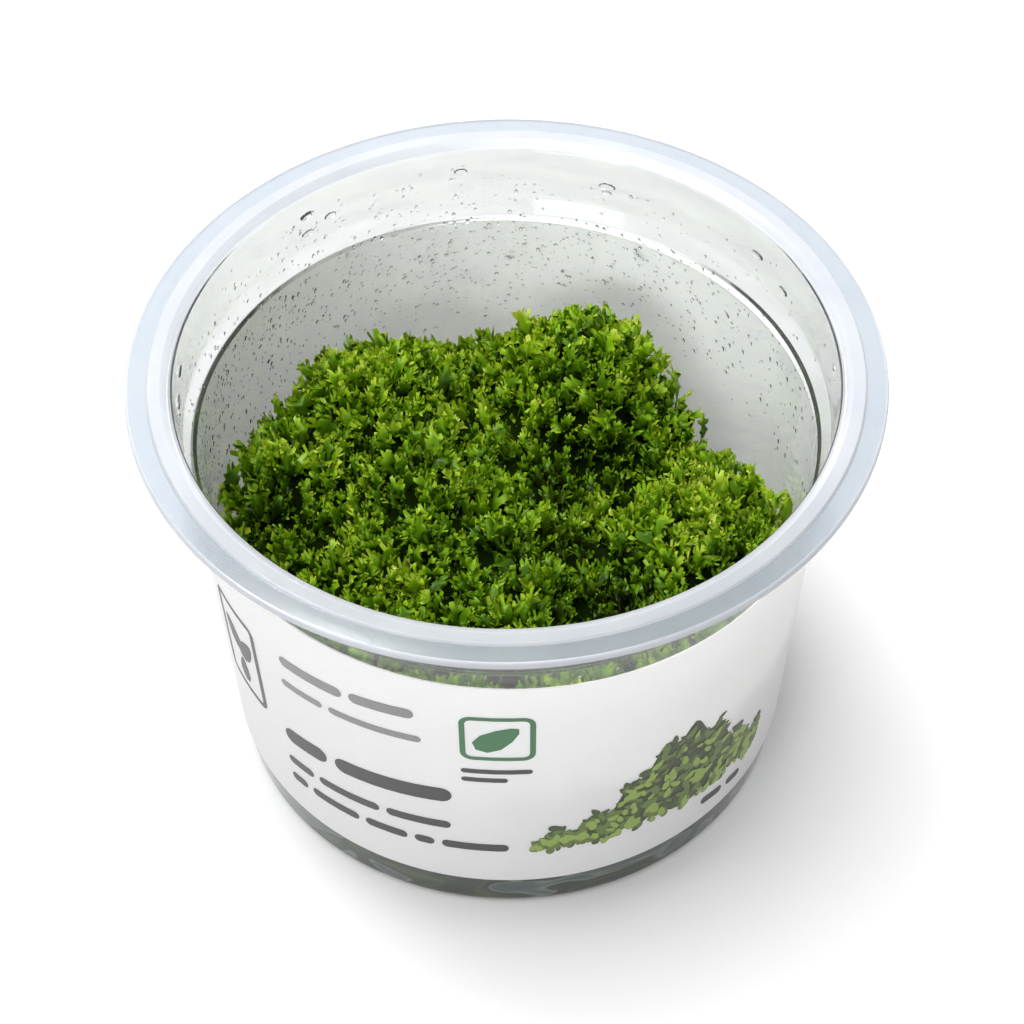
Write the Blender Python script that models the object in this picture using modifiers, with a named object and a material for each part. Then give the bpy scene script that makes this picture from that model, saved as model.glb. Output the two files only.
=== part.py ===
"""A jagged liverwort mat growing on jelly medium in a clear tissue-culture cup with a wrap-round label.

The cup stands on the ground plane with its axis on Z. The side that faces -Y is the front.
"""

import math
import random

import bmesh
import bpy
from mathutils import Vector

MM = 0.001

# Round pieces share one count of sides, so that their facets run parallel across every gap.
SIDES = 56
ARC_STEPS = 2
CLEARANCE = 0.3 * MM
MERGE_DISTANCE = 0.01 * MM

# Cup: a thin tapered wall that steps outwards at a ledge and ends in a flange with a raised bead.
CUP_HEIGHT = 67.0 * MM
RIM_RADIUS = 50.0 * MM
RIM_EDGE_THICKNESS = 1.0 * MM
BEAD_HEIGHT = 0.3 * MM
BEAD_INNER_RADIUS = 45.3 * MM
BEAD_OUTER_RADIUS = 46.9 * MM
LIP_RADIUS = 43.8 * MM
LIP_DROP = 0.9 * MM
WALL = 0.9 * MM
NECK_RADIUS = 44.6 * MM
SHOULDER_RADIUS = 43.9 * MM
LEDGE_TOP = 57.7 * MM
LEDGE_BOTTOM = 55.2 * MM
WAIST_RADIUS = 42.4 * MM
BASE_RADIUS = 38.7 * MM
BASE_CORNER = 1.6 * MM
FOOT_RECESS = 0.8 * MM
FOOT_INNER_RADIUS = 33.0 * MM
FLOOR = 1.0 * MM
FLOOR_CORNER = 1.4 * MM
SOFT_CORNER = 0.5 * MM
RIM_TOP_CORNER = 0.45 * MM
RIM_BOTTOM_CORNER = 0.3 * MM

# Label: a paper band round the tapered wall, its top edge a little out of level.
LABEL_THICKNESS = 0.3 * MM
LABEL_TOP = 53.3 * MM
LABEL_BOTTOM = 6.8 * MM
LABEL_RISE_TO_LEFT = 1.0 * MM
LABEL_RISE_TO_BACK = 0.6 * MM

# Jelly: a shallow layer cast on the cup's floor, drawn up a little where it meets the wall.
JELLY_DEPTH = 5.6 * MM
JELLY_MENISCUS = 0.7 * MM
JELLY_MENISCUS_WIDTH = 2.4 * MM
JELLY_MENISCUS_CURVE = 1.5 * MM
JELLY_FOOT_CORNER = 1.6 * MM

# Mat: grown-together cushions of fronds that fill the cup, parted by a cleft right of the middle.
MAT_BASE_LEVEL = 32.5 * MM
MAT_EDGE_GAP = 0.9 * MM
MAT_FOOT_GAP = 1.3 * MM
MAT_SHOULDER_DROP = 3.2 * MM
MAT_SHOULDER_POWER = 7
MAT_SIDE_RIPPLE = 0.9 * MM
MAT_SIDE_RIPPLES = 17
MAT_RIPPLE_TWIST = 7.0
MAT_DETAIL = 5
MAT_TOP_SHARE = 0.68
MAT_SIDE_SHARE = 0.92
# Each cushion: centre X, centre Y, spread and height above the base level.
CUSHIONS = (
    (-11.5 * MM, 0.0, 25.5 * MM, 8.8 * MM),
    (-19.5 * MM, 15.5 * MM, 18.5 * MM, 14.7 * MM),
    (-33.0 * MM, 6.0 * MM, 9.0 * MM, 13.0 * MM),
    (12.0 * MM, 23.0 * MM, 14.0 * MM, 16.8 * MM),
    (28.5 * MM, -5.0 * MM, 15.2 * MM, 8.8 * MM),
    (-4.0 * MM, -22.0 * MM, 18.0 * MM, 6.0 * MM),
)
CUSHION_BLEND = 4
NOTCH_BEARING = math.radians(37.0)
NOTCH_SPREAD = math.radians(14.0)
NOTCH_DEPTH = 4.6 * MM
NOTCH_DROP = 3.7 * MM
TUFT_COUNT = 76
TUFT_RADIUS = 5.4 * MM
TUFT_RADIUS_SPREAD = 0.9 * MM
TUFT_HEIGHT = 4.0 * MM
TUFT_LOBES = 5
TUFT_LOBE_SHARE = 0.16
TUFT_LOBE_TURN = 9.0
TUFT_SHIFT = 1.2 * MM
TUFT_FIELD_RADIUS = 37.5 * MM
GOLDEN_ANGLE = math.pi * (3.0 - math.sqrt(5.0))
SEED = 11


def wall_radius(z):
    """Outer radius of the cup's tapered wall at height z."""
    share = z / LEDGE_BOTTOM
    return BASE_RADIUS + (WAIST_RADIUS - BASE_RADIUS) * share


def linear(hex_colour):
    """Turn an sRGB hex colour into the linear values that a shader takes."""
    channels = []
    for start in (0, 2, 4):
        value = int(hex_colour[start:start + 2], 16) / 255.0
        channels.append(value / 12.92 if value <= 0.04045 else ((value + 0.055) / 1.055) ** 2.4)
    return (*channels, 1.0)


def make_material(name, hex_colour, roughness, transmission=0.0, ior=1.45):
    """One Principled material, opaque unless a transmission is given."""
    material = bpy.data.materials.new(name)
    material.use_nodes = True
    shader = material.node_tree.nodes["Principled BSDF"]
    shader.inputs["Base Color"].default_value = linear(hex_colour)
    shader.inputs["Metallic"].default_value = 0.0
    shader.inputs["Roughness"].default_value = roughness
    shader.inputs["Transmission Weight"].default_value = transmission
    shader.inputs["IOR"].default_value = ior
    material.diffuse_color = linear(hex_colour)
    return material


def add_object(name, mesh, material, collection):
    """Put a mesh in the scene as one named object."""
    mesh.materials.append(material)
    item = bpy.data.objects.new(name, mesh)
    collection.objects.link(item)
    return item


def rounded(corners):
    """Turn (radius, height, fillet) corners into a smooth chain of points."""
    points = []
    for index, (radius, height, fillet) in enumerate(corners):
        corner = Vector((radius, height))
        if fillet == 0.0:
            points.append(corner)
            continue
        before = (Vector(corners[index - 1][:2]) - corner).normalized()
        after = (Vector(corners[index + 1][:2]) - corner).normalized()
        half_angle = before.angle(after) / 2.0
        centre = corner + (before + after).normalized() * (fillet / math.sin(half_angle))
        reach = fillet / math.tan(half_angle)
        start = corner + before * reach - centre
        end = corner + after * reach - centre
        turn = math.atan2(start.x * end.y - start.y * end.x, start.dot(end))
        first = math.atan2(start.y, start.x)
        for step in range(ARC_STEPS + 1):
            angle = first + turn * step / ARC_STEPS
            points.append(centre + Vector((math.cos(angle), math.sin(angle))) * fillet)
    return points


def turn_profile(name, points, material, collection):
    """Spin a chain of points round Z into a closed body; both ends of the chain lie on the axis."""
    mesh = bpy.data.meshes.new(name)
    mesh.from_pydata([(p.x, 0.0, p.y) for p in points], [(i, i + 1) for i in range(len(points) - 1)], [])
    item = add_object(name, mesh, material, collection)
    screw = item.modifiers.new("Turn", "SCREW")
    screw.axis = "Z"
    screw.angle = 2.0 * math.pi
    screw.steps = SIDES
    screw.render_steps = SIDES
    screw.use_merge_vertices = True
    screw.merge_threshold = MERGE_DISTANCE
    screw.use_smooth_shade = True
    return item


def cup(collection):
    """Clear injection-moulded cup, one piece from foot to rim."""
    flange_top = CUP_HEIGHT - BEAD_HEIGHT
    flange_bottom = flange_top - RIM_EDGE_THICKNESS
    floor_top = FOOT_RECESS + FLOOR
    corners = [
        (0.0, floor_top, 0.0),
        (wall_radius(floor_top) - WALL, floor_top, FLOOR_CORNER),
        (wall_radius(LEDGE_BOTTOM) - WALL, LEDGE_BOTTOM, SOFT_CORNER),
        (SHOULDER_RADIUS - WALL, LEDGE_TOP, SOFT_CORNER),
        (LIP_RADIUS, CUP_HEIGHT - LIP_DROP, SOFT_CORNER),
        (BEAD_INNER_RADIUS, CUP_HEIGHT, 0.0),
        (BEAD_OUTER_RADIUS, CUP_HEIGHT, 0.0),
        (BEAD_OUTER_RADIUS + BEAD_HEIGHT, flange_top, 0.0),
        (RIM_RADIUS, flange_top, RIM_TOP_CORNER),
        (RIM_RADIUS, flange_bottom, RIM_BOTTOM_CORNER),
        (NECK_RADIUS, flange_bottom, SOFT_CORNER),
        (SHOULDER_RADIUS, LEDGE_TOP, SOFT_CORNER),
        (WAIST_RADIUS, LEDGE_BOTTOM, SOFT_CORNER),
        (BASE_RADIUS, 0.0, BASE_CORNER),
        (FOOT_INNER_RADIUS, 0.0, 0.0),
        (FOOT_INNER_RADIUS - FOOT_RECESS, FOOT_RECESS, 0.0),
        (0.0, FOOT_RECESS, 0.0),
    ]
    material = make_material("ClearPlastic", "E8ECF2", 0.12, transmission=0.9, ior=1.49)
    return turn_profile("cup", rounded(corners), material, collection)


def label(collection):
    """Paper band wrapped round the tapered wall."""
    mesh = bpy.data.meshes.new("label")
    band = bmesh.new()
    bmesh.ops.create_cone(
        band,
        cap_ends=False,
        segments=SIDES,
        radius1=wall_radius(LABEL_BOTTOM) + CLEARANCE,
        radius2=wall_radius(LABEL_TOP) + CLEARANCE,
        depth=LABEL_TOP - LABEL_BOTTOM,
    )
    middle = (LABEL_TOP + LABEL_BOTTOM) / 2.0
    for vertex in band.verts:
        on_top_edge = vertex.co.z > 0.0
        bearing = math.atan2(vertex.co.y, vertex.co.x)
        height = vertex.co.z + middle
        if on_top_edge:
            height += LABEL_RISE_TO_BACK * math.sin(bearing)
            height -= LABEL_RISE_TO_LEFT * math.cos(bearing)
        radius = wall_radius(height) + CLEARANCE
        vertex.co = (radius * math.cos(bearing), radius * math.sin(bearing), height)
    band.to_mesh(mesh)
    band.free()
    item = add_object("label", mesh, make_material("LabelPaper", "EDEDEE", 0.45), collection)
    mesh.shade_smooth()
    paper = item.modifiers.new("Paper", "SOLIDIFY")
    paper.thickness = LABEL_THICKNESS
    paper.offset = 1.0
    return item


def jelly_level():
    """Height of the jelly's flat surface."""
    return FOOT_RECESS + FLOOR + CLEARANCE + JELLY_DEPTH


def jelly(collection):
    """Jelly medium cast on the floor of the cup."""
    bottom = FOOT_RECESS + FLOOR + CLEARANCE
    top = jelly_level()
    crest = top + JELLY_MENISCUS
    corners = [
        (0.0, top, 0.0),
        (wall_radius(top) - WALL - CLEARANCE - JELLY_MENISCUS_WIDTH, top, JELLY_MENISCUS_CURVE),
        (wall_radius(crest) - WALL - CLEARANCE, crest, 0.0),
        (wall_radius(bottom) - WALL - CLEARANCE, bottom, JELLY_FOOT_CORNER),
        (0.0, bottom, 0.0),
    ]
    material = make_material("JellyMedium", "6E7A5C", 0.08, transmission=0.8, ior=1.34)
    return turn_profile("jelly", rounded(corners), material, collection)


def tufts():
    """Centres and sizes of the frond tufts, spread evenly over the mat and nudged off their spiral."""
    chance = random.Random(SEED)
    places = []
    for index in range(TUFT_COUNT):
        radius = TUFT_FIELD_RADIUS * math.sqrt((index + 0.5) / TUFT_COUNT)
        bearing = index * GOLDEN_ANGLE
        x = radius * math.cos(bearing) + chance.uniform(-TUFT_SHIFT, TUFT_SHIFT)
        y = radius * math.sin(bearing) + chance.uniform(-TUFT_SHIFT, TUFT_SHIFT)
        size = TUFT_RADIUS + chance.uniform(-TUFT_RADIUS_SPREAD, TUFT_RADIUS_SPREAD)
        places.append((x, y, size))
    return places


def notch(bearing):
    """How far into the notch at the mat's back right edge a bearing lies, from 0 to 1."""
    off = math.remainder(bearing - NOTCH_BEARING, 2.0 * math.pi)
    return math.exp(-(off / NOTCH_SPREAD) ** 2)


def cushion_level(x, y):
    """Height of the cushions alone, without tufts."""
    rise = 0.0
    for centre_x, centre_y, spread, height in CUSHIONS:
        distance = math.hypot(x - centre_x, y - centre_y)
        rise += (height * math.exp(-(distance / spread) ** 2)) ** CUSHION_BLEND
    return MAT_BASE_LEVEL + rise ** (1.0 / CUSHION_BLEND)


def mat_edge(bearing):
    """Plan radius of the mat's upper edge, which keeps one gap to the tapered wall at its own height."""
    nominal = wall_radius(MAT_BASE_LEVEL) - WALL - MAT_EDGE_GAP
    level = cushion_level(nominal * math.cos(bearing), nominal * math.sin(bearing)) - MAT_SHOULDER_DROP
    return wall_radius(level) - WALL - MAT_EDGE_GAP - NOTCH_DEPTH * notch(bearing)


def mat_height(x, y, places):
    """Height of the mat's upper surface, with its cushions, its tufts and its rounded shoulder."""
    bump = 0.0
    for tuft_x, tuft_y, size in places:
        around = math.atan2(y - tuft_y, x - tuft_x)
        lobe = 1.0 + TUFT_LOBE_SHARE * math.sin(TUFT_LOBES * around + TUFT_LOBE_TURN * size / MM)
        reach = math.hypot(x - tuft_x, y - tuft_y) / (size * lobe)
        if reach < 1.0:
            bump = max(bump, math.sqrt(1.0 - reach * reach))
    bearing = math.atan2(y, x)
    out = min(math.hypot(x, y) / mat_edge(bearing), 1.0)
    drop = MAT_SHOULDER_DROP * out ** MAT_SHOULDER_POWER + NOTCH_DROP * notch(bearing) * out ** 2
    return cushion_level(x, y) + TUFT_HEIGHT * bump - drop


def liverwort(collection):
    """Mat of fronds, one growth from the jelly up to the frond tips."""
    places = tufts()
    foot_level = jelly_level() + CLEARANCE
    foot_radius = wall_radius(foot_level) - WALL - MAT_FOOT_GAP - JELLY_MENISCUS_WIDTH
    mesh = bpy.data.meshes.new("liverwort")
    mat = bmesh.new()
    bmesh.ops.create_icosphere(mat, subdivisions=MAT_DETAIL, radius=1.0)
    for vertex in mat.verts:
        bearing = math.atan2(vertex.co.y, vertex.co.x)
        share = (1.0 - vertex.co.z) / 2.0
        edge = mat_edge(bearing)
        across = Vector((math.cos(bearing), math.sin(bearing)))
        if share < MAT_TOP_SHARE:
            spot = across * edge * math.sqrt(share / MAT_TOP_SHARE)
            height = mat_height(spot.x, spot.y, places)
        elif share < MAT_SIDE_SHARE:
            down = (share - MAT_TOP_SHARE) / (MAT_SIDE_SHARE - MAT_TOP_SHARE)
            brink = mat_height(edge * across.x, edge * across.y, places)
            height = brink + (foot_level - brink) * down
            wave = math.sin(MAT_SIDE_RIPPLES * bearing + MAT_RIPPLE_TWIST * down)
            ripple = MAT_SIDE_RIPPLE * math.sin(math.pi * down) * abs(wave)
            spot = across * (edge + (foot_radius - edge) * down - ripple)
        else:
            inward = (1.0 - share) / (1.0 - MAT_SIDE_SHARE)
            spot = across * foot_radius * math.sqrt(max(inward, 0.0))
            height = foot_level
        vertex.co = (spot.x, spot.y, height)
    mat.to_mesh(mesh)
    mat.free()
    mesh.shade_smooth()
    return add_object("liverwort", mesh, make_material("LiverwortFronds", "5C8A12", 0.5), collection)


def clear_scene():
    """Remove the objects that a new scene starts with."""
    for item in list(bpy.data.objects):
        bpy.data.objects.remove(item)


clear_scene()
culture_cup = bpy.data.collections.new("LiverwortCultureCup")
bpy.context.scene.collection.children.link(culture_cup)
cup(culture_cup)
label(culture_cup)
jelly(culture_cup)
liverwort(culture_cup)
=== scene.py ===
import math
import random

import bpy
import numpy as np
from mathutils import Matrix, Vector, noise
from mathutils.geometry import delaunay_2d_cdt


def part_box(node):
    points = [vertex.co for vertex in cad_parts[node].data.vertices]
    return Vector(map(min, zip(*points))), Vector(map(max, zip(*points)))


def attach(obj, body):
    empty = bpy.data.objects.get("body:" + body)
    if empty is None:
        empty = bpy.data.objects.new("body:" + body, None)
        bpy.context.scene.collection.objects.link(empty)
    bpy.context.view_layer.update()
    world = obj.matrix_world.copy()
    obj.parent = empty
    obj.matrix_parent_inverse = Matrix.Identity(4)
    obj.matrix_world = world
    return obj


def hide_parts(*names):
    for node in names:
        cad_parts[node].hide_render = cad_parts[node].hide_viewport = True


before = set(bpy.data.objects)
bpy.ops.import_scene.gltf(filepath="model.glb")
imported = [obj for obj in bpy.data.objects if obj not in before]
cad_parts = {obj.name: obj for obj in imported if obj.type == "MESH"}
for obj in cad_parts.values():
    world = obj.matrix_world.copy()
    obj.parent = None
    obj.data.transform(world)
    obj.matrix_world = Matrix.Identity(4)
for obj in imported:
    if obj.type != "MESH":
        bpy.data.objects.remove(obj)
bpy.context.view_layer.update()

MM = 0.001

# Camera. It stands in front of the cup and looks down into it at about 45 degrees,
# where the photograph was taken from, with the small roll that the photograph has.
CAMERA_DISTANCE = 380.0 * MM
CAMERA_ELEVATION = math.radians(45.317)
CAMERA_TARGET_HEIGHT = 66.5 * MM
CAMERA_PITCH = math.radians(48.157)
CAMERA_YAW = math.radians(0.121)
CAMERA_ROLL = math.radians(-0.516)
FOCAL_LENGTH_PIXELS = 2895.4
FRAME_PIXELS = 1024
SENSOR_WIDTH_MM = 36.0

camera_data = bpy.data.cameras.new("Camera")
camera_data.sensor_width = SENSOR_WIDTH_MM
camera_data.lens = FOCAL_LENGTH_PIXELS / FRAME_PIXELS * SENSOR_WIDTH_MM
camera_data.clip_start = 0.01
camera = bpy.data.objects.new("Camera", camera_data)
bpy.context.scene.collection.objects.link(camera)
camera_place = Vector((
    0.0,
    -CAMERA_DISTANCE * math.cos(CAMERA_ELEVATION),
    CAMERA_TARGET_HEIGHT + CAMERA_DISTANCE * math.sin(CAMERA_ELEVATION),
))
camera.matrix_world = (
    Matrix.Translation(camera_place)
    @ Matrix.Rotation(-CAMERA_YAW, 4, "Z")
    @ Matrix.Rotation(math.pi / 2.0 - CAMERA_PITCH, 4, "X")
    @ Matrix.Rotation(CAMERA_ROLL, 4, "Z")
)
bpy.context.scene.camera = camera

# Studio. A white table in a white room. A large soft panel overhead and a weak one in front light the
# cup, two weak ones low at the back shine through the label, so that the inside of the wall is
# bright, and a narrow strip high at the back draws light along the rim.
ROOM_BRIGHTNESS = 0.64
LAMP_TARGET = Vector((0.0, 0.0, 0.04))
TABLE_SIZE = 4.0


def linear(hex_colour):
    """Turn an sRGB hex colour into the linear values that a shader takes."""
    channels = []
    for start in (0, 2, 4):
        value = int(hex_colour[start:start + 2], 16) / 255.0
        channels.append(value / 12.92 if value <= 0.04045 else ((value + 0.055) / 1.055) ** 2.4)
    return (*channels, 1.0)


def new_material(name):
    """A material with its Principled shader alone; returns the material and the shader."""
    material = bpy.data.materials.new(name)
    material.use_nodes = True
    return material, material.node_tree.nodes["Principled BSDF"]


def add_node(material, kind, inputs=(), feeds=(), **settings):
    """Add one node. Inputs are pairs of a socket and the value or output that it takes;
    feeds are pairs of one of the node's outputs and the socket that it goes into."""
    node = material.node_tree.nodes.new(kind)
    for key, value in settings.items():
        setattr(node, key, value)
    for socket, value in inputs:
        if isinstance(value, bpy.types.NodeSocket):
            material.node_tree.links.new(value, node.inputs[socket])
        else:
            node.inputs[socket].default_value = value
    for output, socket in feeds:
        material.node_tree.links.new(node.outputs[output], socket)
    return node


def softbox(name, place, width, height, power, mirrored):
    """One rectangular soft light that faces the cup; gloss shows it only where mirrored."""
    data = bpy.data.lights.new(name, "AREA")
    data.shape = "RECTANGLE"
    data.size = width
    data.size_y = height
    data.energy = power
    lamp = bpy.data.objects.new(name, data)
    bpy.context.scene.collection.objects.link(lamp)
    lamp.visible_camera = False
    lamp.visible_glossy = mirrored
    lamp.location = place
    lamp.rotation_euler = (LAMP_TARGET - Vector(place)).to_track_quat("-Z", "Y").to_euler()


bpy.context.scene.view_settings.view_transform = "Standard"
softbox("PanelOverhead", (-0.24, 0.05, 1.08), 0.9, 0.9, 12.5, True)
softbox("PanelFront", (-0.40, -0.88, 0.34), 0.5, 0.4, 4.2, False)
softbox("PanelBackLeft", (-0.50, 0.68, 0.20), 0.6, 0.25, 3.6, False)
softbox("PanelBackRight", (0.50, 0.68, 0.20), 0.6, 0.25, 3.6, False)
softbox("StripBack", (-0.30, 0.34, 0.95), 0.50, 0.06, 3.0, True)

world = bpy.data.worlds.new("WhiteRoom")
world.use_nodes = True
world.node_tree.nodes["Background"].inputs["Color"].default_value = linear("FFFFFF")
world.node_tree.nodes["Background"].inputs["Strength"].default_value = ROOM_BRIGHTNESS
bpy.context.scene.world = world

bpy.ops.object.select_all(action="DESELECT")
bpy.ops.mesh.primitive_plane_add(size=TABLE_SIZE, location=(0.0, 0.0, 0.0))
table = bpy.context.active_object
table.name = "StudioTable"
# White laminate, pressed smooth and dull: it shows soft shadows and no reflections.
table_material, table_shader = new_material("WhiteLaminate")
table_shader.inputs["Base Color"].default_value = linear("E0E0E0")
table_shader.inputs["Roughness"].default_value = 0.6
table.data.materials.append(table_material)

# Cup. One thin injection moulding of clear polypropylene: a foot ring, a tapered wall, a ledge,
# a wider neck and a flange with a raised bead, all turned from one cross-section.
CUP_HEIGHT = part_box("cup")[1][2]
RIM_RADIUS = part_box("cup")[1][0]
WALL = 0.9 * MM
BEAD_HEIGHT = 0.3 * MM
BEAD_INNER_RADIUS = 45.3 * MM
BEAD_OUTER_RADIUS = 46.9 * MM
BEAD_FOOT_RADIUS = 47.2 * MM
FLANGE_THICKNESS = 1.0 * MM
LIP_DROP = 0.9 * MM
LIP_RADIUS = 43.8 * MM
LEDGE_TOP = 57.7 * MM
LEDGE_BOTTOM = 55.2 * MM
WAIST_RADIUS = 42.4 * MM
BASE_RADIUS = 38.7 * MM
NECK_RADIUS = 44.6 * MM
SHOULDER_RADIUS = 43.9 * MM
FLOOR_TOP = 1.8 * MM
FOOT_INNER_RADIUS = 33.0 * MM
RECESS_RADIUS = 32.2 * MM
FOOT_RECESS = 0.8 * MM
TURNED_SIDES = 192
ARC_STEPS = 5


def wall_radius(z):
    """Outer radius of the tapered wall at height z."""
    return BASE_RADIUS + (WAIST_RADIUS - BASE_RADIUS) * z / LEDGE_BOTTOM


def rounded(corners):
    """Turn (radius, height, fillet) corners into a smooth chain of points."""
    points = []
    for index, (radius, height, fillet) in enumerate(corners):
        corner = Vector((radius, height))
        if fillet == 0.0:
            points.append(corner)
            continue
        before = (Vector(corners[index - 1][:2]) - corner).normalized()
        after = (Vector(corners[index + 1][:2]) - corner).normalized()
        half_angle = before.angle(after) / 2.0
        centre = corner + (before + after).normalized() * (fillet / math.sin(half_angle))
        reach = fillet / math.tan(half_angle)
        start = corner + before * reach - centre
        end = corner + after * reach - centre
        turn = math.atan2(start.x * end.y - start.y * end.x, start.dot(end))
        first = math.atan2(start.y, start.x)
        for step in range(ARC_STEPS + 1):
            angle = first + turn * step / ARC_STEPS
            points.append(centre + Vector((math.cos(angle), math.sin(angle))) * fillet)
    return points


def turned(name, points):
    """Extrude a point along a chain of points and spin the chain round Z into a closed body."""
    bpy.ops.object.select_all(action="DESELECT")
    bpy.ops.mesh.primitive_plane_add(size=MM)
    piece = bpy.context.active_object
    piece.name = piece.data.name = name
    bpy.ops.object.mode_set(mode="EDIT")
    bpy.ops.mesh.merge(type="CENTER")
    bpy.ops.transform.translate(value=(points[0].x, 0.0, points[0].y))
    for here, there in zip(points, points[1:]):
        step = (there.x - here.x, 0.0, there.y - here.y)
        bpy.ops.mesh.extrude_region_move(TRANSFORM_OT_translate={"value": step})
    bpy.ops.mesh.select_all(action="SELECT")
    bpy.ops.mesh.spin(steps=TURNED_SIDES, angle=2.0 * math.pi, center=(0, 0, 0), axis=(0, 0, 1))
    bpy.ops.mesh.select_all(action="SELECT")
    bpy.ops.mesh.remove_doubles(threshold=0.002 * MM)
    bpy.ops.mesh.normals_make_consistent(inside=False)
    bpy.ops.object.mode_set(mode="OBJECT")
    piece.data.shade_smooth()
    return piece


flange_top = CUP_HEIGHT - BEAD_HEIGHT
flange_underside = flange_top - FLANGE_THICKNESS
cup_corners = [
    (0.0, FLOOR_TOP, 0.0),
    (wall_radius(FLOOR_TOP) - WALL, FLOOR_TOP, 1.4 * MM),
    (wall_radius(LEDGE_BOTTOM) - WALL, LEDGE_BOTTOM, 0.5 * MM),
    (SHOULDER_RADIUS - WALL, LEDGE_TOP, 0.5 * MM),
    (LIP_RADIUS, CUP_HEIGHT - LIP_DROP, 0.5 * MM),
    (BEAD_INNER_RADIUS, CUP_HEIGHT, 0.15 * MM),
    (BEAD_OUTER_RADIUS, CUP_HEIGHT, 0.15 * MM),
    (BEAD_FOOT_RADIUS, flange_top, 0.15 * MM),
    (RIM_RADIUS, flange_top, 0.45 * MM),
    (RIM_RADIUS, flange_underside, 0.3 * MM),
    (NECK_RADIUS, flange_underside, 0.5 * MM),
    (SHOULDER_RADIUS, LEDGE_TOP, 0.5 * MM),
    (WAIST_RADIUS, LEDGE_BOTTOM, 0.5 * MM),
    (BASE_RADIUS, 0.0, 1.6 * MM),
    (FOOT_INNER_RADIUS, 0.0, 0.3 * MM),
    (RECESS_RADIUS, FOOT_RECESS, 0.3 * MM),
    (0.0, FOOT_RECESS, 0.0),
]
cup = turned("Cup", rounded(cup_corners))

# Clear polypropylene, injection moulded: the thin wall is glossy and nearly colourless, with faint
# waves of about 9 mm where the skin froze, which bend what is seen through it. Lamp light goes
# straight through, as thin clear plastic throws hardly any shadow.
PLASTIC_IOR = 1.49
WALL_WAVE = 9.1 * MM
MIX_SHARE, MIX_FIRST, MIX_SECOND, MIX_RESULT = 0, 6, 7, 2


def surface_of(material):
    """The socket that takes a material's finished surface."""
    return material.node_tree.nodes["Material Output"].inputs["Surface"]


plastic, plastic_shader = new_material("ClearPolypropylene")
plastic_shader.inputs["Transmission Weight"].default_value = 0.985
plastic_shader.inputs["IOR"].default_value = PLASTIC_IOR
plastic_shader.inputs["Roughness"].default_value = 0.05
moulding = add_node(plastic, "ShaderNodeTexCoord")
ripple = add_node(plastic, "ShaderNodeTexNoise", [
    ("Vector", moulding.outputs["Object"]),
    ("Scale", 1.0 / WALL_WAVE),
    ("Detail", 2.0),
    ("Distortion", 0.8),
])
add_node(plastic, "ShaderNodeMix", [
    (MIX_SHARE, ripple.outputs["Fac"]),
    (MIX_FIRST, linear("EFF2F1")),
    (MIX_SECOND, linear("F9FBFA")),
], [(MIX_RESULT, plastic_shader.inputs["Base Color"])], data_type="RGBA")
add_node(plastic, "ShaderNodeBump", [
    ("Height", ripple.outputs["Fac"]),
    ("Strength", 0.25),
    ("Distance", 0.3 * MM),
], [("Normal", plastic_shader.inputs["Normal"])])
ray = add_node(plastic, "ShaderNodeLightPath")
clear = add_node(plastic, "ShaderNodeBsdfTransparent", [("Color", linear("F4F6F5"))])
add_node(plastic, "ShaderNodeMixShader", [
    (0, ray.outputs["Is Shadow Ray"]),
    (1, plastic_shader.outputs[0]),
    (2, clear.outputs[0]),
], [(0, surface_of(plastic))])
cup.data.materials.append(plastic)

# The same polypropylene where it is thicker and cooled slowly, which clouds it: milky in the bead
# and the flange's edge, paler on the flange's flat, and only streaked with flow in the neck. The
# flow marks are about 10 mm long and a sixth as high.
FLOW_MARK = 10.0 * MM
FLOW_FLATNESS = 6.0
FLANGE_ROOT_RADIUS = 44.25 * MM
FLANGE_ROOT_HEIGHT = 65.6 * MM
FLAT_INNER_RADIUS = 47.15 * MM
FLAT_OUTER_RADIUS = 49.2 * MM
NECK_FOOT_HEIGHT = LEDGE_BOTTOM - 1.0 * MM
BEAD_SLOT, FLAT_SLOT, NECK_SLOT = 1, 2, 3


def slow_cooled_plastic(name, dark_hex, light_hex, clearness, roughness):
    """Clouded polypropylene with flat flow marks, added to the cup's materials."""
    cloudy, cloudy_shader = new_material(name)
    cloudy_shader.inputs["Transmission Weight"].default_value = clearness
    cloudy_shader.inputs["IOR"].default_value = PLASTIC_IOR
    cloudy_shader.inputs["Roughness"].default_value = roughness
    place = add_node(cloudy, "ShaderNodeTexCoord")
    flat = add_node(cloudy, "ShaderNodeMapping", [
        ("Vector", place.outputs["Object"]),
        ("Scale", (1.0, 1.0, FLOW_FLATNESS)),
    ])
    cloud = add_node(cloudy, "ShaderNodeTexNoise", [
        ("Vector", flat.outputs["Vector"]),
        ("Scale", 1.0 / FLOW_MARK),
        ("Detail", 3.0),
    ])
    add_node(cloudy, "ShaderNodeMix", [
        (MIX_SHARE, cloud.outputs["Fac"]),
        (MIX_FIRST, linear(dark_hex)),
        (MIX_SECOND, linear(light_hex)),
    ], [(MIX_RESULT, cloudy_shader.inputs["Base Color"])], data_type="RGBA")
    cup.data.materials.append(cloudy)


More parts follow.
